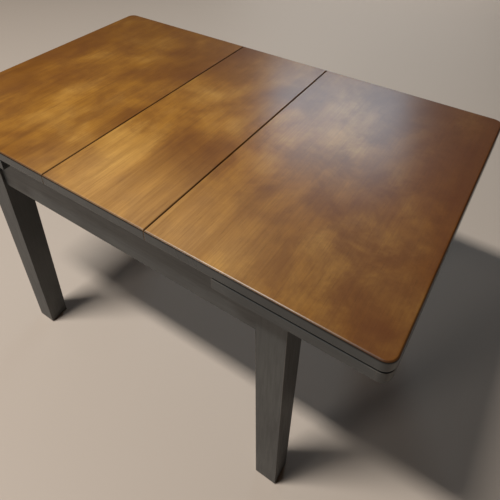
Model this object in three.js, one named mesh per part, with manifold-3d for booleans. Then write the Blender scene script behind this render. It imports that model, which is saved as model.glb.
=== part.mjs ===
// Extending dining table: a fixed four-legged base, two end tops that slide outwards on
// wooden runners, and a drop-in centre leaf that rests on two cross bearers.
// Millimetres. +X runs along the length, -Y is the front, +Z is up, and the origin is on the
// floor under the middle of the table.

import * as THREE from 'three';
import { mergeVertices } from 'three/addons/utils/BufferGeometryUtils.js';
import Module from 'manifold-3d';

// Whole table
const LENGTH = 1300;
const WIDTH = 795;
const HEIGHT = 765;
const CLEARANCE = 0.3;

// How far a cutter reaches past the faces it cuts, and the facets of round shapes.
const OVERCUT = 1;
const ROUND_STEPS = 6;
const CORNER_STEPS = 8;

// Top panels
const LEAF_LENGTH = 300;
const TOP_THICKNESS = 28;
const TOP_CORNER_RADIUS = 24;
const TOP_ROUND = 5;
const BOTTOM_EASE = 3;
const SEAM_GAP = 1.5;
const SEAM_CHAMFER = 2;

// Skirt under each end top, with a shadow slit between the two
const SKIRT_HEIGHT = 30;
const SKIRT_THICKNESS = 18;
const SKIRT_INSET = 1;
const SKIRT_REACH = 340;
const SLIT_HEIGHT = 4.5;
const SLIT_DEPTH = 10;

// Legs and aprons
const LEG_OUTER_X = 459;
const LEG_OUTER_Y = 371;
const LEG_TOP_SIZE = 68;
const LEG_FOOT_SIZE = 57;
const LEG_CHAMFER = 12;
const APRON_HEIGHT = 135;
const APRON_THICKNESS = 22;
const APRON_RECESS = 7;
const SLIDE_CLEARANCE = 1;

// Corner braces and their hanger bolts
const BRACE_HEIGHT = 62;
const BRACE_THICKNESS = 30;
const BRACE_LIFT = 8;
const BOLT_RADIUS = 4;
const BOLT_LENGTH = 78;
const BOLT_IN_LEG = 36;
const NUT_RADIUS = 7.5;
const NUT_HEIGHT = 6.5;
const WASHER_RADIUS = 9;
const WASHER_HEIGHT = 1.6;

// Foot glides
const GLIDE_RADIUS = 19;
const GLIDE_HEIGHT = 3;

// Cross bearers
const BEARER_X = 120;
const BEARER_THICKNESS = 22;
const BEARER_HEIGHT = 76;

// Runners: both ends have a pair, and the pairs pass side by side
const RUNNER_WIDTH = 26;
const RUNNER_HEIGHT = 40;
const RUNNER_THIN_HEIGHT = 25;
const RUNNER_INNER_END = -90;
const RUNNER_STEP = 120;
const RUNNER_SLOPE = 10;
const RUNNER_OUTER_END = 450;
const LEFT_TRACK_Y = 283;
const RIGHT_TRACK_Y = 245;
const TRACK_CLEARANCE = 0.5;
const TRAVEL = 30;
const STOP_LENGTH = 14;
const STOP_HEIGHT = 11;
const STOP_PLAY = 1;

// Runner screws
const SCREW_X = [170, 400];
const SCREW_RADIUS = 2.2;
const SCREW_HEAD_RADIUS = 5;
const SCREW_HEAD_HEIGHT = 3.5;
const SCREW_SINK = 12;
const SCREW_IN_TOP = 16;

// Leaf pegs and battens
const PEG_Y = 180;
const PEG_RADIUS = 5;
const PEG_LENGTH = 34;
const PEG_NOSE = 2;
const PEG_IN_LEAF = 12;
const BATTEN_X = 60;
const BATTEN_WIDTH = 44;
const BATTEN_HEIGHT = 18;
const BATTEN_LENGTH = 430;

// Levels and spans worked out from the dimensions above
const TOP_UNDERSIDE = HEIGHT - TOP_THICKNESS;
const UNDER_TOP = TOP_UNDERSIDE - CLEARANCE;
const FRAME_TOP = TOP_UNDERSIDE - SLIDE_CLEARANCE;
const APRON_BOTTOM = FRAME_TOP - APRON_HEIGHT;
const LEG_INNER_X = LEG_OUTER_X - LEG_TOP_SIZE;
const LEG_INNER_Y = LEG_OUTER_Y - LEG_TOP_SIZE;
const SIDE_APRON_OUT = LEG_OUTER_Y - APRON_RECESS;
const SIDE_APRON_IN = SIDE_APRON_OUT - APRON_THICKNESS;
const END_APRON_OUT = LEG_OUTER_X - APRON_RECESS;
const END_APRON_IN = END_APRON_OUT - APRON_THICKNESS;
const BRACE_BOTTOM = APRON_BOTTOM + BRACE_LIFT;
const BRACE_MIDDLE = BRACE_BOTTOM + BRACE_HEIGHT / 2;
const RUNNER_BOTTOM = UNDER_TOP - RUNNER_HEIGHT;
const RUNNER_THIN_TOP = RUNNER_BOTTOM + RUNNER_THIN_HEIGHT;
const END_TOP_LENGTH = (LENGTH - LEAF_LENGTH) / 2;
const SKIRT_CORNER_RADIUS = TOP_CORNER_RADIUS - SKIRT_INSET;
const SKIRT_BOTTOM = UNDER_TOP - SKIRT_HEIGHT;
const DIAGONAL = Math.PI / 4;

const wasm = await Module();
wasm.setup();

// ---------------------------------------------------------------- materials

function finish(color, roughness, metalness = 0) {
  return () => new THREE.MeshStandardMaterial({ color, roughness, metalness });
}

const stainedTop = finish(0x7d5124, 0.32);
const greyPaint = finish(0x3b3e3f, 0.45);
const plainBeech = finish(0xb08d62, 0.6);
const zincSteel = finish(0x9a9d9f, 0.35, 1);
const nylon = finish(0x1d1c1b, 0.7);

// ------------------------------------------------------------ solids, booleans

function toManifold(geometry) {
  const bare = geometry.index ? geometry.toNonIndexed() : geometry.clone();
  bare.deleteAttribute('normal');
  bare.deleteAttribute('uv');
  const merged = mergeVertices(bare, 1e-4);
  return new wasm.Manifold(new wasm.Mesh({
    numProp: 3,
    vertProperties: new Float32Array(merged.attributes.position.array),
    triVerts: new Uint32Array(merged.index.array),
  }));
}

function toGeometry(solid) {
  const mesh = solid.getMesh();
  const geometry = new THREE.BufferGeometry();
  geometry.setAttribute('position', new THREE.BufferAttribute(mesh.vertProperties, 3));
  geometry.setIndex(new THREE.BufferAttribute(mesh.triVerts, 1));
  geometry.computeVertexNormals();
  return geometry;
}

function cut(geometry, ...tools) {
  const result = tools.reduce((solid, tool) => solid.subtract(toManifold(tool)), toManifold(geometry));
  return toGeometry(result);
}

function join(first, ...others) {
  const result = others.reduce((solid, other) => solid.add(toManifold(other)), toManifold(first));
  return toGeometry(result);
}

function overlapOf(first, second) {
  return toGeometry(toManifold(first).intersect(toManifold(second)));
}

// Reflects a geometry through the YZ and XZ planes, keeping its faces pointing outwards.
function reflected(geometry, signX, signY) {
  const copy = geometry.index ? geometry.toNonIndexed() : geometry.clone();
  copy.scale(signX, signY, 1);
  if (signX * signY < 0) {
    const position = copy.attributes.position;
    const corner = new THREE.Vector3();
    const other = new THREE.Vector3();
    for (let i = 0; i < position.count; i += 3) {
      corner.fromBufferAttribute(position, i + 1);
      other.fromBufferAttribute(position, i + 2);
      position.setXYZ(i + 1, other.x, other.y, other.z);
      position.setXYZ(i + 2, corner.x, corner.y, corner.z);
    }
  }
  copy.computeVertexNormals();
  return copy;
}

function block([x0, x1], [y0, y1], [z0, z1]) {
  const geometry = new THREE.BoxGeometry(x1 - x0, y1 - y0, z1 - z0);
  return geometry.translate((x0 + x1) / 2, (y0 + y1) / 2, (z0 + z1) / 2);
}

function polygon(points) {
  return new THREE.Shape(points.map(([x, y]) => new THREE.Vector2(x, y)));
}

// A plan outline raised from z0 to z1.
function raised(outline, [z0, z1]) {
  const options = { depth: z1 - z0, bevelEnabled: false, curveSegments: 10 };
  return new THREE.ExtrudeGeometry(outline, options).translate(0, 0, z0);
}

// An outline drawn in X and Z, drawn out from y0 to y1.
function acrossY(points, [y0, y1]) {
  const options = { depth: y1 - y0, bevelEnabled: false };
  const geometry = new THREE.ExtrudeGeometry(polygon(points), options);
  return geometry.rotateX(Math.PI / 2).translate(0, y1, 0);
}

function upright(radius, x, y, [z0, z1], sides = 16) {
  const geometry = new THREE.CylinderGeometry(radius, radius, z1 - z0, sides);
  return geometry.rotateX(Math.PI / 2).translate(x, y, (z0 + z1) / 2);
}

// A turned piece: [radius, height] pairs about +Z.
function turned(profile, sides = 16) {
  const points = profile.map(([radius, height]) => new THREE.Vector2(radius, height));
  return new THREE.LatheGeometry(points, sides).rotateX(Math.PI / 2);
}

// Lies a piece that points along +Z down on the diagonal of a corner, at a height.
function onDiagonal(geometry, distance, z) {
  const along = distance * Math.SQRT1_2;
  return geometry.rotateY(Math.PI / 2).rotateZ(DIAGONAL).translate(along, along, z);
}

function piece(name, geometry, material) {
  const mesh = new THREE.Mesh(geometry, material());
  mesh.name = name;
  return mesh;
}

// The four corners: [name, sign of X, sign of Y].
const CORNERS = [
  ['front_left', -1, -1],
  ['front_right', 1, -1],
  ['back_left', -1, 1],
  ['back_right', 1, 1],
];

// ---------------------------------------------------------------- base frame

// Distances from the table's centre along a corner's diagonal. The leg and the brace are
// square to the diagonal where the chamfer is cut.
const CHAMFER_DISTANCE = (LEG_INNER_X + LEG_INNER_Y + LEG_CHAMFER) * Math.SQRT1_2;
const DIAGONAL_SHIFT = (LEG_INNER_X - LEG_INNER_Y) / 2;

// The bolt's line passes through the leg's inner corner, which isn't on the table's own
// diagonal because the base is longer than it is wide.
function boltPlace(geometry, distance) {
  return onDiagonal(geometry, distance, BRACE_MIDDLE).translate(DIAGONAL_SHIFT, -DIAGONAL_SHIFT, 0);
}

function boltHole(radius, from, to) {
  const hole = new THREE.CylinderGeometry(radius, radius, to - from, 16).rotateX(Math.PI / 2);
  return boltPlace(hole, (from + to) / 2);
}

// Outer faces upright, inner faces tapered below the aprons.
function legGeometry() {
  const foot = GLIDE_HEIGHT + CLEARANCE;
  const height = FRAME_TOP - foot;
  const leg = new THREE.BoxGeometry(LEG_TOP_SIZE, LEG_TOP_SIZE, height, 1, 1, 2);
  leg.translate(LEG_OUTER_X - LEG_TOP_SIZE / 2, LEG_OUTER_Y - LEG_TOP_SIZE / 2, foot + height / 2);
  const position = leg.attributes.position;
  for (let i = 0; i < position.count; i += 1) {
    const level = Math.round((position.getZ(i) - foot) / (height / 2));
    if (level === 1) {
      position.setZ(i, APRON_BOTTOM);
    }
    if (level === 0) {
      position.setX(i, Math.max(position.getX(i), LEG_OUTER_X - LEG_FOOT_SIZE));
      position.setY(i, Math.max(position.getY(i), LEG_OUTER_Y - LEG_FOOT_SIZE));
    }
  }
  const chamfer = raised(polygon([
    [LEG_INNER_X - OVERCUT, LEG_INNER_Y - OVERCUT],
    [LEG_INNER_X + LEG_CHAMFER + OVERCUT, LEG_INNER_Y - OVERCUT],
    [LEG_INNER_X - OVERCUT, LEG_INNER_Y + LEG_CHAMFER + OVERCUT],
  ]), [APRON_BOTTOM, HEIGHT]);
  const blindEnd = CHAMFER_DISTANCE + BOLT_IN_LEG + 1;
  return cut(leg, chamfer, boltHole(BOLT_RADIUS + CLEARANCE, CHAMFER_DISTANCE - 20, blindEnd));
}

// A block between the two aprons, tight against the leg's chamfer.
function braceGeometry() {
  const outer = CHAMFER_DISTANCE * Math.SQRT2 - CLEARANCE * 1.5;
  const inner = outer - BRACE_THICKNESS * Math.SQRT2;
  const sideY = SIDE_APRON_IN - CLEARANCE;
  const endX = END_APRON_IN - CLEARANCE;
  const brace = raised(polygon([
    [inner - sideY, sideY],
    [endX, inner - endX],
    [endX, outer - endX],
    [outer - sideY, sideY],
  ]), [BRACE_BOTTOM, BRACE_BOTTOM + BRACE_HEIGHT]);
  const start = CHAMFER_DISTANCE - BRACE_THICKNESS - 5;
  return cut(brace, boltHole(BOLT_RADIUS + 0.5, start, CHAMFER_DISTANCE + 5));
}

// Stud, washer and hexagon nut. It points into the leg, and its nut bears on the brace.
function boltGeometry() {
  const tail = BOLT_LENGTH - BOLT_IN_LEG;
  const face = -(BRACE_THICKNESS + 2 * CLEARANCE);
  const stud = turned([
    [0, -tail],
    [BOLT_RADIUS, -tail],
    [BOLT_RADIUS, BOLT_IN_LEG - 3],
    [0, BOLT_IN_LEG],
  ]);
  const washer = new THREE.CylinderGeometry(WASHER_RADIUS, WASHER_RADIUS, WASHER_HEIGHT, 24);
  washer.rotateX(Math.PI / 2).translate(0, 0, face - WASHER_HEIGHT / 2);
  const nut = new THREE.CylinderGeometry(NUT_RADIUS, NUT_RADIUS, NUT_HEIGHT, 6);
  nut.rotateX(Math.PI / 2).translate(0, 0, face - WASHER_HEIGHT - NUT_HEIGHT / 2 + 0.1);
  return boltPlace(join(stud, washer, nut), CHAMFER_DISTANCE);
}

function glideGeometry() {
  const rim = GLIDE_RADIUS - 1;
  const centreX = LEG_OUTER_X - LEG_FOOT_SIZE / 2;
  const centreY = LEG_OUTER_Y - LEG_FOOT_SIZE / 2;
  const glide = turned([
    [0, 0],
    [rim, 0],
    [GLIDE_RADIUS, 1],
    [GLIDE_RADIUS, GLIDE_HEIGHT],
    [0, GLIDE_HEIGHT],
  ], 24);
  return glide.translate(centreX, centreY, 0);
}

function sideApronGeometry() {
  const end = LEG_INNER_X - CLEARANCE;
  return block([-end, end], [SIDE_APRON_IN, SIDE_APRON_OUT], [APRON_BOTTOM, FRAME_TOP]);
}

// Notched on top where that end's two runners pass over it.
function endApronGeometry(trackY) {
  const end = LEG_INNER_Y - CLEARANCE;
  const half = RUNNER_WIDTH / 2 + TRACK_CLEARANCE;
  const apron = block([END_APRON_IN, END_APRON_OUT], [-end, end], [APRON_BOTTOM, FRAME_TOP]);
  const notches = [-trackY, trackY].map((y) => block(
    [END_APRON_IN - OVERCUT, END_APRON_OUT + OVERCUT],
    [y - half, y + half],
    [RUNNER_BOTTOM - CLEARANCE, HEIGHT],
  ));
  return cut(apron, ...notches);
}

// Slotted for the thin part of all four runners, and bored for the leaf's pegs.
function bearerGeometry() {
  const end = SIDE_APRON_IN - CLEARANCE;
  const near = BEARER_X - BEARER_THICKNESS / 2;
  const far = BEARER_X + BEARER_THICKNESS / 2;
  const bearer = block([near, far], [-end, end], [FRAME_TOP - BEARER_HEIGHT, FRAME_TOP]);
  const half = RUNNER_WIDTH / 2 + TRACK_CLEARANCE;
  const tools = [];
  for (const side of [-1, 1]) {
    for (const trackY of [LEFT_TRACK_Y, RIGHT_TRACK_Y]) {
      tools.push(block(
        [near - OVERCUT, far + OVERCUT],
        [side * trackY - half, side * trackY + half],
        [RUNNER_BOTTOM - TRACK_CLEARANCE, RUNNER_THIN_TOP + TRACK_CLEARANCE],
      ));
    }
    const pegBottom = TOP_UNDERSIDE + PEG_IN_LEAF - PEG_LENGTH;
    tools.push(upright(PEG_RADIUS + 1, BEARER_X, side * PEG_Y, [pegBottom - 4, HEIGHT]));
  }
  return cut(bearer, ...tools);
}

function baseFrame() {
  const base = new THREE.Group();
  const corner = {
    leg: [legGeometry(), greyPaint],
    corner_brace: [braceGeometry(), plainBeech],
    hanger_bolt: [boltGeometry(), zincSteel],
    foot_glide: [glideGeometry(), nylon],
  };
  for (const [kind, [geometry, material]] of Object.entries(corner)) {
    for (const [place, signX, signY] of CORNERS) {
      base.add(piece(`${kind}_${place}`, reflected(geometry, signX, signY), material));
    }
  }
  for (const [place, sign] of [['front', -1], ['back', 1]]) {
    base.add(piece(`side_apron_${place}`, reflected(sideApronGeometry(), 1, sign), greyPaint));
  }
  for (const [place, sign, trackY] of [['left', -1, LEFT_TRACK_Y], ['right', 1, RIGHT_TRACK_Y]]) {
    base.add(piece(`end_apron_${place}`, reflected(endApronGeometry(trackY), sign, 1), greyPaint));
    base.add(piece(`cross_bearer_${place}`, reflected(bearerGeometry(), sign, 1), plainBeech));
  }
  return base;
}

// ---------------------------------------------------------------- top panels

// The corners of a rounded rectangle in plan between two X positions, anticlockwise. The
// inset draws the whole outline in.
function roundedPlan([x0, x1], inset) {
  const turns = [
    [x1 - TOP_CORNER_RADIUS, 1],
    [x0 + TOP_CORNER_RADIUS, 1],
    [x0 + TOP_CORNER_RADIUS, -1],
    [x1 - TOP_CORNER_RADIUS, -1],
  ];
  return turns.flatMap(([centreX, signY], quarter) => {
    const centreY = signY * (WIDTH / 2 - TOP_CORNER_RADIUS);
    const radius = TOP_CORNER_RADIUS - inset;
    return Array.from({ length: CORNER_STEPS + 1 }, (_, step) => {
      const angle = (quarter + step / CORNER_STEPS) * Math.PI / 2;
      return [centreX + radius * Math.cos(angle), centreY + radius * Math.sin(angle)];
    });
  });
}

// Joins outlines of equally many corners, one above the other, into one closed solid.
function stacked(layers) {
  const count = layers[0].outline.length;
  const positions = layers.flatMap(({ outline, z }) => outline.flatMap(([x, y]) => [x, y, z]));
  const faces = [];
  for (let layer = 0; layer < layers.length - 1; layer += 1) {
    for (let i = 0; i < count; i += 1) {
      const here = layer * count + i;
      const next = layer * count + (i + 1) % count;
      faces.push(here, next, next + count, here, next + count, here + count);
    }
  }
  const last = (layers.length - 1) * count;
  for (let i = 1; i < count - 1; i += 1) {
    faces.push(0, i + 1, i, last, last + i, last + i + 1);
  }
  const geometry = new THREE.BufferGeometry();
  geometry.setAttribute('position', new THREE.Float32BufferAttribute(positions, 3));
  geometry.setIndex(faces);
  geometry.computeVertexNormals();
  return geometry;
}

// A panel between two X positions, well rounded above and lightly eased below, before its
// seams are cut.
function easedPanel(x0, x1) {
  const layers = [];
  for (const [radius, face, inward] of [[BOTTOM_EASE, TOP_UNDERSIDE, 1], [TOP_ROUND, HEIGHT, -1]]) {
    const rounding = [];
    for (let step = 0; step <= ROUND_STEPS; step += 1) {
      const angle = step / ROUND_STEPS * Math.PI / 2;
      rounding.push({
        outline: roundedPlan([x0, x1], radius * (1 - Math.sin(angle))),
        z: face + inward * radius * (1 - Math.cos(angle)),
      });
    }
    layers.push(...(inward > 0 ? rounding : rounding.reverse()));
  }
  return stacked(layers);
}

// The panel's length in side view, with a small chamfer along the top of each seam.
function seamProfile(x0, x1, seamAtEnd) {
  const above = HEIGHT + OVERCUT;
  const slope = SEAM_CHAMFER + OVERCUT;
  const points = [[x0, TOP_UNDERSIDE - OVERCUT], [x1, TOP_UNDERSIDE - OVERCUT]];
  if (seamAtEnd) {
    points.push([x1, HEIGHT - SEAM_CHAMFER], [x1 - slope, above]);
  } else {
    points.push([x1, above]);
  }
  points.push([x0 + slope, above], [x0, HEIGHT - SEAM_CHAMFER]);
  return acrossY(points, [-WIDTH, WIDTH]);
}

function pilotHole(radius, x, y, depth) {
  return upright(radius, x, y, [TOP_UNDERSIDE - OVERCUT, TOP_UNDERSIDE + depth]);
}

// X is measured from the seam in a table end's own frame.
function endTopGeometry(trackY) {
  const seam = SEAM_GAP / 2;
  const panel = easedPanel(-2 * TOP_CORNER_RADIUS, END_TOP_LENGTH);
  const holes = [];
  for (const x of SCREW_X) {
    for (const y of [-trackY, trackY]) {
      holes.push(pilotHole(SCREW_RADIUS + CLEARANCE, x, y, SCREW_IN_TOP + 1));
    }
  }
  return cut(overlapOf(panel, seamProfile(seam, END_TOP_LENGTH + OVERCUT, false)), ...holes);
}

// ---------------------------------------------------------------- skirt

// A skirt piece from its plan outline. outline(thickness) draws it from its inner face
// outwards, so the thinner tongue on top leaves the shadow slit outside it.
function skirtGeometry(outline) {
  const shoulder = UNDER_TOP - SLIT_HEIGHT;
  const body = raised(outline(SKIRT_THICKNESS), [SKIRT_BOTTOM, shoulder]);
  const tongue = raised(outline(SKIRT_THICKNESS - SLIT_DEPTH), [shoulder - OVERCUT, UNDER_TOP]);
  return join(body, tongue);
}

const SKIRT_SIDE_IN = WIDTH / 2 - SKIRT_INSET - SKIRT_THICKNESS;
const SKIRT_END_IN = END_TOP_LENGTH - SKIRT_INSET - SKIRT_THICKNESS;
const SKIRT_TURN_IN = SKIRT_CORNER_RADIUS - SKIRT_THICKNESS;
const SKIRT_TURN_X = SKIRT_END_IN - SKIRT_TURN_IN;
const SKIRT_TURN_Y = SKIRT_SIDE_IN - SKIRT_TURN_IN;

function armOutline(thickness) {
  const inner = END_TOP_LENGTH - SKIRT_REACH;
  const outer = SKIRT_TURN_X - CLEARANCE;
  const side = SKIRT_SIDE_IN + thickness;
  return polygon([[inner, SKIRT_SIDE_IN], [outer, SKIRT_SIDE_IN], [outer, side], [inner, side]]);
}

function cornerOutline(thickness) {
  const outline = new THREE.Shape();
  outline.absarc(SKIRT_TURN_X, SKIRT_TURN_Y, SKIRT_TURN_IN + thickness, 0, Math.PI / 2);
  outline.absarc(SKIRT_TURN_X, SKIRT_TURN_Y, SKIRT_TURN_IN, Math.PI / 2, 0, true);
  return outline;
}

function railOutline(thickness) {
  const side = SKIRT_TURN_Y - CLEARANCE;
  const outer = SKIRT_END_IN + thickness;
  return polygon([[SKIRT_END_IN, -side], [outer, -side], [outer, side], [SKIRT_END_IN, side]]);
}

// ---------------------------------------------------------------- runners

// Deep where it is screwed to the end top, thin where it passes through the cross bearers.
function runnerGeometry(y) {
  const half = RUNNER_WIDTH / 2;
  const body = acrossY([
    [RUNNER_INNER_END, RUNNER_BOTTOM],
    [RUNNER_OUTER_END, RUNNER_BOTTOM],
    [RUNNER_OUTER_END, UNDER_TOP],
    [RUNNER_STEP, UNDER_TOP],
    [RUNNER_STEP - RUNNER_SLOPE, RUNNER_THIN_TOP],
    [RUNNER_INNER_END, RUNNER_THIN_TOP],
  ], [y - half, y + half]);
  const holes = SCREW_X.flatMap((x) => [
    upright(SCREW_RADIUS + CLEARANCE, x, y, [RUNNER_BOTTOM - OVERCUT, HEIGHT]),
    upright(SCREW_HEAD_RADIUS + 0.5, x, y, [RUNNER_BOTTOM - OVERCUT, RUNNER_BOTTOM + SCREW_SINK]),
  ]);
  return cut(body, ...holes);
}

// Pan head below, shank up into the end top.
function screwGeometry() {
  const seat = SCREW_SINK - CLEARANCE;
  const tip = RUNNER_HEIGHT + CLEARANCE + SCREW_IN_TOP;
  return turned([
    [0, seat - SCREW_HEAD_HEIGHT],
    [SCREW_HEAD_RADIUS - 1.5, seat - SCREW_HEAD_HEIGHT],
    [SCREW_HEAD_RADIUS, seat - 1.5],
    [SCREW_HEAD_RADIUS, seat],
    [SCREW_RADIUS, seat],
    [SCREW_RADIUS, tip - 4],
    [0, tip],
  ], 12);
}

// Glued on top of a runner's inner end. It meets the cross bearer after the full travel.
function stopGeometry(y) {
  const half = RUNNER_WIDTH / 2;
  const bearerFace = BEARER_X - BEARER_THICKNESS / 2 - LEAF_LENGTH / 2;
  const end = bearerFace - TRAVEL - STOP_PLAY;
  const bottom = RUNNER_THIN_TOP + CLEARANCE;
  return block([end - STOP_LENGTH, end], [y - half, y + half], [bottom, bottom + STOP_HEIGHT]);
}

// One sliding end, with its seam at x = 0 and its outer edge at x = END_TOP_LENGTH.
// facing is 1 for the right end, and -1 for the left end, which is turned half round.
function tableEnd(side, facing, trackY) {
  const end = new THREE.Group();
  end.add(piece(`end_top_${side}`, endTopGeometry(trackY), stainedTop));
  end.add(piece(`skirt_rail_${side}`, skirtGeometry(railOutline), greyPaint));
  for (const sign of [-1, 1]) {
    const place = sign * facing < 0 ? `front_${side}` : `back_${side}`;
    const arm = reflected(skirtGeometry(armOutline), 1, sign);
    const turn = reflected(skirtGeometry(cornerOutline), 1, sign);
    end.add(piece(`skirt_arm_${place}`, arm, greyPaint));
    end.add(piece(`skirt_corner_${place}`, turn, greyPaint));
    end.add(piece(`runner_${place}`, runnerGeometry(sign * trackY), plainBeech));
    end.add(piece(`runner_stop_${place}`, stopGeometry(sign * trackY), plainBeech));
    SCREW_X.forEach((x, index) => {
      const screw = piece(`runner_screw_${place}_${index + 1}`, screwGeometry(), zincSteel);
      screw.position.set(x, sign * trackY, RUNNER_BOTTOM);
      end.add(screw);
    });
  }
  end.position.x = facing * LEAF_LENGTH / 2;
  end.rotation.z = facing < 0 ? Math.PI : 0;
  return end;
}

// ---------------------------------------------------------------- centre leaf

function leafGeometry() {
  const seam = LEAF_LENGTH / 2 - SEAM_GAP / 2;
  const blank = LEAF_LENGTH / 2 + 2 * TOP_CORNER_RADIUS;
  const panel = overlapOf(easedPanel(-blank, blank), seamProfile(-seam, seam, true));
  const holes = CORNERS.map(([, signX, signY]) => (
    pilotHole(PEG_RADIUS + CLEARANCE, signX * BEARER_X, signY * PEG_Y, PEG_IN_LEAF + 1)
  ));
  return cut(panel, ...holes);
}

function pegGeometry() {
  return turned([
    [0, 0],
    [PEG_RADIUS - PEG_NOSE, 0],
    [PEG_RADIUS, PEG_NOSE],
    [PEG_RADIUS, PEG_LENGTH],
    [0, PEG_LENGTH],
  ]);
}

function battenGeometry(x) {
  const half = BATTEN_LENGTH / 2;
  return block(
    [x - BATTEN_WIDTH / 2, x + BATTEN_WIDTH / 2],
    [-half, half],
    [UNDER_TOP - BATTEN_HEIGHT, UNDER_TOP],
  );
}

function centreLeaf() {
  const leaf = new THREE.Group();
  leaf.add(piece('centre_leaf', leafGeometry(), stainedTop));
  for (const [place, signX, signY] of CORNERS) {
    const peg = piece(`leaf_peg_${place}`, pegGeometry(), plainBeech);
    peg.position.set(signX * BEARER_X, signY * PEG_Y, TOP_UNDERSIDE + PEG_IN_LEAF - PEG_LENGTH);
    leaf.add(peg);
  }
  for (const [place, sign] of [['left', -1], ['right', 1]]) {
    leaf.add(piece(`leaf_batten_${place}`, battenGeometry(sign * BATTEN_X), plainBeech));
  }
  return leaf;
}

const table = new THREE.Group();
table.add(
  baseFrame(),
  tableEnd('left', -1, LEFT_TRACK_Y),
  tableEnd('right', 1, RIGHT_TRACK_Y),
  centreLeaf(),
);

export default table;
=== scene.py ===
"""Looks of the extending dining table: stained and lacquered tops over a grey painted base."""

import math

import bpy
from mathutils import Matrix, Vector

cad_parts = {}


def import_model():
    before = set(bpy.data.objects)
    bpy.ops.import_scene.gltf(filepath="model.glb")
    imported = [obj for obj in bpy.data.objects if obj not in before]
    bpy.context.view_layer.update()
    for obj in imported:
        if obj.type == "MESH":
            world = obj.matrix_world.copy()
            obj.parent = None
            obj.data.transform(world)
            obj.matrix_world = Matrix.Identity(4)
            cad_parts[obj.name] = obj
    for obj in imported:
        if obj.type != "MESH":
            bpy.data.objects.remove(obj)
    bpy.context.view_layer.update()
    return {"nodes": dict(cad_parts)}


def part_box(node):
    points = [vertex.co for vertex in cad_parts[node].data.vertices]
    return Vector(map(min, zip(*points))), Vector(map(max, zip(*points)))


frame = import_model()

# Camera: at standing height, in front of the right front corner.
CAMERA_PLACE = (0.687, -0.850, 1.459)
CAMERA_HEADING = 33.05     # degrees from +Y towards -X
CAMERA_DIP = 35.54         # degrees below the horizon
CAMERA_ROLL = 0.46
SENSOR = 36.0              # millimetres, as is the lens
LENS = 35.8
SHIFT_Y = -0.219
CLIP_END = 100

# The top's face, and depths below it on the rounded arris: where painted shade darkens the stain
# and where the paint starts. A dark line of painted shade fades out over LINE_FADE below the start
# of the paint.
TOP_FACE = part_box("centre_leaf")[1][2]
ARRIS_START = 0.0003
PAINT_START = 0.0021
LINE_FADE = 0.0050

# The middle of each seam, and how far from it a face still counts as inside the seam.
SEAM_X = (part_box("centre_leaf")[1][0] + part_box("end_top_right")[0][0]) / 2
SEAM_TOLERANCE = 0.0012

# Where the colour changes over the table, in metres from its middle: the stain's dark right side,
# painted shade towards the back, and painted light near the front middle, whose reach counts from
# its middle in X. WANDER is how far the dark right side strays from its span.
DARK_RIGHT = (0.02, 0.74)
PAINTED_SHADE_BACK = (-0.1, 0.4)
PAINTED_LIGHT_FRONT = (-0.40, -0.10)
PAINTED_LIGHT_MIDDLE_X = 0.10
PAINTED_LIGHT_REACH = (0.1, 0.42)
WANDER = 0.08

# Radii of the shaded rounding on the tops and of the rubbed edges on paint.
ARRIS_EASE = 0.003
WORN_EDGE = 0.002

# Rounded edges added to the sawn pieces.
ARRIS_SEGMENTS = 3
ARRIS_ANGLE = 40           # degrees between faces, from which an edge is rounded

# Stage
FLOOR_REACH = 30.0         # metres from the middle
WORLD_COLOUR = (1.0, 0.66, 0.46, 1)
WORLD_STRENGTH = 0.028

# Which material each node takes, by the start of its name.
FINISHES = {
    "end_top": "stained_top",
    "centre_leaf": "stained_top",
    "leg": "grey_paint",
    "side_apron": "grey_paint",
    "end_apron": "grey_paint",
    "skirt": "grey_paint",
    "corner_brace": "plain_beech",
    "cross_bearer": "plain_beech",
    "runner_screw": "zinc_steel",
    "runner": "plain_beech",
    "leaf_peg": "plain_beech",
    "leaf_batten": "plain_beech",
    "hanger_bolt": "zinc_steel",
    "foot_glide": "nylon",
}


# ------------------------------------------------------------------ node helpers

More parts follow.
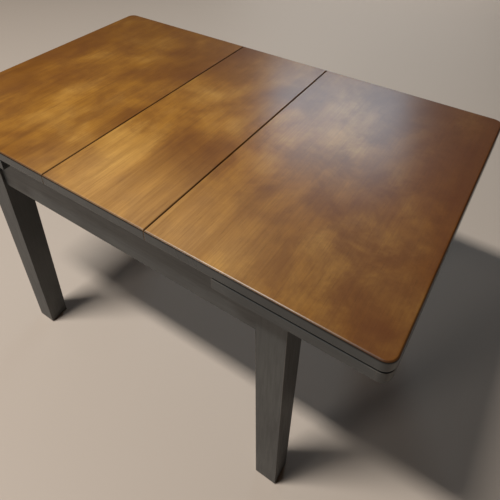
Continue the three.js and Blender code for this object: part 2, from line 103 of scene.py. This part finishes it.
class Nodes:
    """Short calls for a material's node tree."""

    def __init__(self, name):
        self.material = bpy.data.materials.new(name)
        self.material.use_nodes = True
        self.tree = self.material.node_tree
        self.shader = self.tree.nodes["Principled BSDF"]

    def add(self, kind, **settings):
        node = self.tree.nodes.new(kind)
        for key, value in settings.items():
            setattr(node, key, value)
        return node

    def link(self, source, target):
        self.tree.links.new(source, target)

    def feed(self, socket, value):
        if isinstance(value, bpy.types.NodeSocket):
            self.link(value, socket)
        else:
            socket.default_value = value

    def place(self, scale, shift=(0, 0, 0)):
        """Object coordinates in metres, scaled per axis and shifted."""
        coordinates = self.add("ShaderNodeTexCoord")
        mapping = self.add("ShaderNodeMapping")
        mapping.inputs["Scale"].default_value = scale
        mapping.inputs["Location"].default_value = shift
        self.link(coordinates.outputs["Object"], mapping.inputs["Vector"])
        return mapping.outputs["Vector"]

    def noise(self, vector, scale, detail=4.0, roughness=0.55, distortion=0.0):
        node = self.add("ShaderNodeTexNoise")
        self.link(vector, node.inputs["Vector"])
        node.inputs["Scale"].default_value = scale
        node.inputs["Detail"].default_value = detail
        node.inputs["Roughness"].default_value = roughness
        node.inputs["Distortion"].default_value = distortion
        return node.outputs["Fac"]

    def ramp(self, value, stops, mode="LINEAR"):
        """stops: (position, colour or grey level) pairs."""
        node = self.add("ShaderNodeValToRGB")
        node.color_ramp.interpolation = mode
        elements = node.color_ramp.elements
        while len(elements) < len(stops):
            elements.new(0.5)
        for element, (position, colour) in zip(elements, stops):
            element.position = position
            element.color = colour if isinstance(colour, tuple) else (colour, colour, colour, 1)
        self.link(value, node.inputs["Fac"])
        return node.outputs["Color"]

    def math(self, operation, first, second=0.5):
        node = self.add("ShaderNodeMath", operation=operation)
        self.feed(node.inputs[0], first)
        self.feed(node.inputs[1], second)
        return node.outputs[0]

    def stretch(self, value, low, high, new_low, new_high):
        """A smooth step from one range of values to another."""
        node = self.add("ShaderNodeMapRange", interpolation_type="SMOOTHSTEP")
        self.link(value, node.inputs["Value"])
        node.inputs["From Min"].default_value = low
        node.inputs["From Max"].default_value = high
        node.inputs["To Min"].default_value = new_low
        node.inputs["To Max"].default_value = new_high
        return node.outputs["Result"]

    def mix_colours(self, factor, first, second, blend="MIX"):
        node = self.add("ShaderNodeMix", data_type="RGBA", blend_type=blend)
        colour_inputs = [socket for socket in node.inputs if socket.type == "RGBA"]
        self.feed(node.inputs[0], factor)
        self.feed(colour_inputs[0], first)
        self.feed(colour_inputs[1], second)
        return [socket for socket in node.outputs if socket.type == "RGBA"][0]

    def mix_values(self, factor, first, second):
        node = self.add("ShaderNodeMix", data_type="FLOAT")
        self.feed(node.inputs[0], factor)
        self.feed(node.inputs[2], first)
        self.feed(node.inputs[3], second)
        return node.outputs[0]

    def axis(self, name):
        """One object coordinate in metres."""
        coordinates = self.add("ShaderNodeTexCoord")
        parts = self.add("ShaderNodeSeparateXYZ")
        self.link(coordinates.outputs["Object"], parts.inputs[0])
        return parts.outputs[name]

    def edge_wear(self, radius):
        """1 near sharp edges, 0 elsewhere."""
        bevel = self.add("ShaderNodeBevel", samples=6)
        bevel.inputs["Radius"].default_value = radius
        geometry = self.add("ShaderNodeNewGeometry")
        dot = self.add("ShaderNodeVectorMath", operation="DOT_PRODUCT")
        self.link(bevel.outputs["Normal"], dot.inputs[0])
        self.link(geometry.outputs["Normal"], dot.inputs[1])
        return self.stretch(dot.outputs["Value"], 0.999, 0.93, 0.0, 1.0)

    def eased(self, radius):
        """Normals rounded over the facets of an arris."""
        bevel = self.add("ShaderNodeBevel", samples=6)
        bevel.inputs["Radius"].default_value = radius
        return bevel.outputs["Normal"]

    def bump(self, height, strength, distance, normal=None):
        node = self.add("ShaderNodeBump")
        if normal is not None:
            self.link(normal, node.inputs["Normal"])
        node.inputs["Strength"].default_value = strength
        node.inputs["Distance"].default_value = distance
        self.link(height, node.inputs["Height"])
        return node.outputs["Normal"]


def rgb(red, green, blue):
    """An sRGB colour in 0-255 as a linear node colour."""
    def linear(level):
        level /= 255
        return level / 12.92 if level <= 0.04045 else ((level + 0.055) / 1.055) ** 2.4
    return (linear(red), linear(green), linear(blue), 1.0)


# ---------------------------------------------------------------------- materials

def wood_fields(nodes, shift):
    """Patterns of a board whose grain runs along Y, shifted so that boards differ."""
    return {
        "fibre": nodes.noise(nodes.place((260, 7, 60), shift=shift), 1.0, 5.0, 0.6, 0.4),
        "streak": nodes.noise(nodes.place((42, 1.6, 12), shift=shift), 1.0, 5.0, 0.62, 0.6),
        "pores": nodes.noise(nodes.place((900, 26, 200), shift=shift), 1.0, 2.0, 0.5),
        "cloud": nodes.noise(nodes.place((4.6, 3.6, 3.0), shift=shift), 1.0, 3.0, 0.55, 0.5),
        "blotch": nodes.noise(nodes.place((11, 9, 8), shift=shift), 1.0, 6.0, 0.66, 0.3),
    }


def stain_colour(nodes, fields):
    """Golden brown stain wiped unevenly over the grain.

    It is darker towards the right end, darker towards the back by painted shade, and lighter near
    the middle of the front by painted light."""
    stain = nodes.ramp(fields["cloud"], [
        (0.30, rgb(120, 74, 24)),
        (0.44, rgb(144, 95, 33)),
        (0.56, rgb(172, 120, 44)),
        (0.70, rgb(204, 154, 74)),
    ])
    blotched = nodes.stretch(fields["blotch"], 0.36, 0.74, 0.0, 0.55)
    stain = nodes.mix_colours(blotched, stain, rgb(112, 66, 24))

    across = nodes.axis("X")
    wavy = nodes.math("ADD", across, nodes.stretch(fields["blotch"], 0.3, 0.7, -WANDER, WANDER))
    right_side = nodes.stretch(wavy, *DARK_RIGHT, 0.0, 0.86)
    stain = nodes.mix_colours(right_side, stain, rgb(84, 42, 12))

    # Painted light: lighter near the middle of the front.
    near_side = nodes.stretch(nodes.axis("Y"), *PAINTED_LIGHT_FRONT, 0.45, 0.0)
    off_middle = nodes.math("ABSOLUTE", nodes.math("SUBTRACT", across, PAINTED_LIGHT_MIDDLE_X))
    in_middle = nodes.stretch(off_middle, *PAINTED_LIGHT_REACH, 1.0, 0.0)
    painted_front_light = nodes.math("MULTIPLY", near_side, in_middle)
    stain = nodes.mix_colours(painted_front_light, stain, rgb(226, 180, 116))

    # Painted shade: darker towards the back.
    painted_back_shade = nodes.stretch(nodes.axis("Y"), *PAINTED_SHADE_BACK, 0.0, 0.5)
    stain = nodes.mix_colours(painted_back_shade, stain, rgb(84, 50, 26))

    streaked = nodes.stretch(fields["streak"], 0.35, 0.7, 0.0, 0.32)
    stain = nodes.mix_colours(streaked, stain, rgb(108, 66, 28))
    fibrous = nodes.stretch(fields["fibre"], 0.4, 0.7, 0.0, 0.22)
    stain = nodes.mix_colours(fibrous, stain, rgb(86, 48, 20))
    pored = nodes.stretch(fields["pores"], 0.62, 0.72, 0.0, 0.3)
    return nodes.mix_colours(pored, stain, rgb(52, 30, 14))


def painted_part(nodes):
    """1 on a panel's painted edge and underside, 0 on its face and on the faces inside a seam."""
    below_face = nodes.math("LESS_THAN", nodes.axis("Z"), TOP_FACE - PAINT_START)
    from_seam = nodes.math("SUBTRACT", nodes.math("ABSOLUTE", nodes.axis("X")), SEAM_X)
    off_seam = nodes.math("GREATER_THAN", nodes.math("ABSOLUTE", from_seam), SEAM_TOLERANCE)
    return nodes.math("MULTIPLY", below_face, off_seam)


def stained_top(name, shift):
    """Stained and lacquered face with a grey painted edge, and painted shade on its rounded arris.
    """
    nodes = Nodes(name)
    fields = wood_fields(nodes, shift)
    painted = painted_part(nodes)
    paint, _ = paint_colour(nodes, "Y")
    # Painted shade: a dark line on the paint just below its start, fading downwards.
    drop = nodes.math("SUBTRACT", TOP_FACE - PAINT_START, nodes.axis("Z"))
    painted_edge_shade = nodes.stretch(drop, 0.0, LINE_FADE, 0.9, 0.0)
    paint = nodes.mix_colours(painted_edge_shade, paint, rgb(16, 12, 10))
    # Painted shade: the stain darkened on the rounded arris and on the faces inside a seam.
    on_arris = nodes.math("LESS_THAN", nodes.axis("Z"), TOP_FACE - ARRIS_START)
    painted_arris_shade = nodes.math("MULTIPLY", on_arris, 0.6)
    stain = nodes.mix_colours(painted_arris_shade, stain_colour(nodes, fields), rgb(40, 20, 10))
    colour = nodes.mix_colours(painted, stain, paint)
    nodes.link(colour, nodes.shader.inputs["Base Color"])
    lacquer = nodes.stretch(fields["blotch"], 0.3, 0.7, 0.46, 0.56)
    paint_gloss = nodes.stretch(fields["cloud"], 0.3, 0.7, 0.24, 0.30)
    nodes.link(nodes.mix_values(painted, lacquer, paint_gloss), nodes.shader.inputs["Roughness"])
    nodes.shader.inputs["Coat Roughness"].default_value = 0.24
    nodes.shader.inputs["Specular IOR Level"].default_value = 0.3
    nodes.link(nodes.mix_values(painted, 0.75, 0.0), nodes.shader.inputs["Coat Weight"])
    fibre_height = nodes.math("MULTIPLY", fields["fibre"], 0.6)
    relief = nodes.math("ADD", fibre_height, nodes.math("MULTIPLY", fields["pores"], 0.4))
    normal = nodes.bump(relief, 0.12, 0.0006, nodes.eased(ARRIS_EASE))
    nodes.link(normal, nodes.shader.inputs["Normal"])
    return nodes.material


def paint_colour(nodes, along):
    """Dark grey brushed along the piece, with its edges rubbed thin.

    Returns the colour and the brush marks."""
    brushes = {"X": (14, 260, 260), "Y": (260, 14, 260), "Z": (260, 260, 14)}
    brush = nodes.noise(nodes.place(brushes[along]), 1.0, 4.0, 0.6)
    mottle = nodes.noise(nodes.place((7, 7, 5)), 1.0, 4.0, 0.6, 0.3)
    colour = nodes.ramp(mottle, [
        (0.3, rgb(60, 62, 62)),
        (0.5, rgb(68, 70, 70)),
        (0.7, rgb(76, 78, 77)),
    ])
    colour = nodes.mix_colours(nodes.stretch(brush, 0.35, 0.7, 0.0, 0.35), colour, rgb(62, 62, 61))
    edges = nodes.edge_wear(WORN_EDGE)
    wear = nodes.math("MULTIPLY", edges, nodes.stretch(mottle, 0.45, 0.6, 0.05, 0.5))
    return nodes.mix_colours(wear, colour, rgb(118, 110, 100)), brush


def grey_paint(name, along):
    """Satin paint over wood, with the brush marks in relief."""
    nodes = Nodes(name)
    colour, brush = paint_colour(nodes, along)
    nodes.link(colour, nodes.shader.inputs["Base Color"])
    nodes.link(nodes.stretch(brush, 0.3, 0.7, 0.44, 0.54), nodes.shader.inputs["Roughness"])
    nodes.link(nodes.bump(brush, 0.18, 0.0005), nodes.shader.inputs["Normal"])
    return nodes.material


def plain_beech(name, along):
    """Unfinished beech with short flecks along the grain."""
    nodes = Nodes(name)
    grains = {"X": (6, 180, 180), "Y": (180, 6, 180), "Z": (180, 180, 6)}
    flecks = {"X": (70, 600, 600), "Y": (600, 70, 600), "Z": (600, 600, 70)}
    grain = nodes.noise(nodes.place(grains[along]), 1.0, 5.0, 0.6, 0.5)
    fleck = nodes.noise(nodes.place(flecks[along]), 1.0, 2.0, 0.5)
    colour = nodes.ramp(grain, [
        (0.32, rgb(150, 112, 74)),
        (0.5, rgb(178, 138, 96)),
        (0.7, rgb(196, 158, 116)),
    ])
    colour = nodes.mix_colours(nodes.stretch(fleck, 0.6, 0.7, 0.0, 0.5), colour, rgb(124, 86, 54))
    nodes.link(colour, nodes.shader.inputs["Base Color"])
    nodes.link(nodes.stretch(grain, 0.3, 0.7, 0.58, 0.72), nodes.shader.inputs["Roughness"])
    nodes.link(nodes.bump(grain, 0.25, 0.0006), nodes.shader.inputs["Normal"])
    return nodes.material


def zinc_steel(name):
    """Bright zinc plate, slightly dulled in patches."""
    nodes = Nodes(name)
    patch = nodes.noise(nodes.place((90, 90, 90)), 1.0, 4.0, 0.6)
    colour = nodes.ramp(patch, [(0.35, rgb(138, 140, 142)), (0.65, rgb(186, 188, 190))])
    nodes.link(colour, nodes.shader.inputs["Base Color"])
    nodes.shader.inputs["Metallic"].default_value = 1.0
    nodes.link(nodes.stretch(patch, 0.3, 0.7, 0.28, 0.48), nodes.shader.inputs["Roughness"])
    return nodes.material


def nylon(name):
    """Black moulded nylon, scuffed."""
    nodes = Nodes(name)
    scuff = nodes.noise(nodes.place((160, 160, 160)), 1.0, 5.0, 0.65)
    colour = nodes.ramp(scuff, [(0.4, rgb(26, 26, 26)), (0.7, rgb(58, 56, 54))])
    nodes.link(colour, nodes.shader.inputs["Base Color"])
    nodes.link(nodes.stretch(scuff, 0.3, 0.7, 0.55, 0.8), nodes.shader.inputs["Roughness"])
    nodes.link(nodes.bump(scuff, 0.2, 0.0004), nodes.shader.inputs["Normal"])
    return nodes.material


# -------------------------------------------------------------- dress the CAD nodes

def longest_axis(node):
    low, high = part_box(node)
    spans = [high[i] - low[i] for i in range(3)]
    return "XYZ"[spans.index(max(spans))]


# Where each board lies in the noise, chosen by trial, so that no two boards look alike.
BOARD_SHIFTS = {
    "end_top_left": (3.1, 7.7, 1.3),
    "centre_leaf": (17.3, 4.6, 8.1),
    "end_top_right": (23.8, 16.5, 9.1),
}
made = {}


def material_for(node):
    start = max((key for key in FINISHES if node.startswith(key)), key=len)
    finish = FINISHES[start]
    if finish == "stained_top":
        return stained_top(f"stained_top_{node}", BOARD_SHIFTS[node])
    if finish in ("grey_paint", "plain_beech"):
        along = longest_axis(node)
        make = grey_paint if finish == "grey_paint" else plain_beech
        if (finish, along) not in made:
            made[finish, along] = make(f"{finish}_{along}", along)
        return made[finish, along]
    if finish not in made:
        made[finish] = zinc_steel(finish) if finish == "zinc_steel" else nylon(finish)
    return made[finish]


# Width of the rounded edges, by the start of the node's name. The tops have theirs in the CAD.
ARRIS = {
    "leg": 0.0018,
    "side_apron": 0.0012,
    "end_apron": 0.0012,
    "skirt": 0.0012,
    "corner_brace": 0.0010,
    "cross_bearer": 0.0010,
    "leaf_batten": 0.0015,
    "runner_stop": 0.0008,
}

for node_name, node in frame["nodes"].items():
    node.data.materials.clear()
    node.data.materials.append(material_for(node_name))
    arris = [size for key, size in ARRIS.items() if node_name.startswith(key)]
    if arris:
        bevel = node.modifiers.new("arris", "BEVEL")
        bevel.width = arris[0]
        bevel.segments = ARRIS_SEGMENTS
        bevel.limit_method = "ANGLE"
        bevel.angle_limit = math.radians(ARRIS_ANGLE)


# ------------------------------------------------------------------------- stage

def floor():
    """A plain pale floor. Its edge shows only in low views."""
    mesh = bpy.data.meshes.new("floor")
    reach = FLOOR_REACH
    corners = [(-reach, -reach, 0), (reach, -reach, 0), (reach, reach, 0), (-reach, reach, 0)]
    mesh.from_pydata(corners, [], [(0, 1, 2, 3)])
    plane = bpy.data.objects.new("floor", mesh)
    bpy.context.collection.objects.link(plane)
    nodes = Nodes("floor")
    nodes.shader.inputs["Base Color"].default_value = rgb(196, 184, 172)
    nodes.shader.inputs["Roughness"].default_value = 0.6
    mesh.materials.append(nodes.material)


def area_light(name, place, target, size, power, colour):
    data = bpy.data.lights.new(name, "AREA")
    data.shape = "RECTANGLE"
    data.size, data.size_y = size
    data.energy = power
    data.color = colour
    light = bpy.data.objects.new(name, data)
    light.location = place
    light.rotation_euler = (Vector(target) - Vector(place)).to_track_quat("-Z", "Y").to_euler()
    bpy.context.collection.objects.link(light)


def world():
    background = bpy.data.worlds.new("room")
    background.use_nodes = True
    shader = background.node_tree.nodes["Background"]
    shader.inputs["Color"].default_value = WORLD_COLOUR
    shader.inputs["Strength"].default_value = WORLD_STRENGTH
    bpy.context.scene.world = background


def camera():
    data = bpy.data.cameras.new("camera")
    data.sensor_width = SENSOR
    data.lens = LENS
    data.shift_y = SHIFT_Y
    data.clip_end = CLIP_END
    eye = bpy.data.objects.new("camera", data)
    heading = Matrix.Rotation(math.radians(CAMERA_HEADING), 4, "Z")
    dip = Matrix.Rotation(math.radians(90 - CAMERA_DIP), 4, "X")
    roll = Matrix.Rotation(math.radians(CAMERA_ROLL), 4, "Z")
    eye.matrix_world = Matrix.Translation(CAMERA_PLACE) @ heading @ dip @ roll
    bpy.context.collection.objects.link(eye)
    bpy.context.scene.camera = eye


floor()
world()
area_light("ceiling", place=(-1.65, -2.0, 5.6), target=(-1.65, 0.5, 0.0), size=(1.9, 0.4),
           power=305, colour=(1.0, 0.95, 0.89))
area_light("front_window", place=(-1.15, -3.2, 2.1), target=(-1.15, -0.3, 0.76), size=(0.8, 0.4),
           power=18, colour=(1.0, 0.97, 0.94))
area_light("far_window", place=(-0.82, 2.97, 2.71), target=(0.15, 0.1, 0.76), size=(1.3, 0.9),
           power=18, colour=(0.66, 0.85, 1.0))
area_light("back_fill", place=(-1.2, 4.6, 0.8), target=(0, 0.4, 0.55), size=(3.2, 1.0),
           power=20, colour=(1.0, 0.95, 0.90))
camera()
bpy.context.scene.view_settings.view_transform = "Standard"
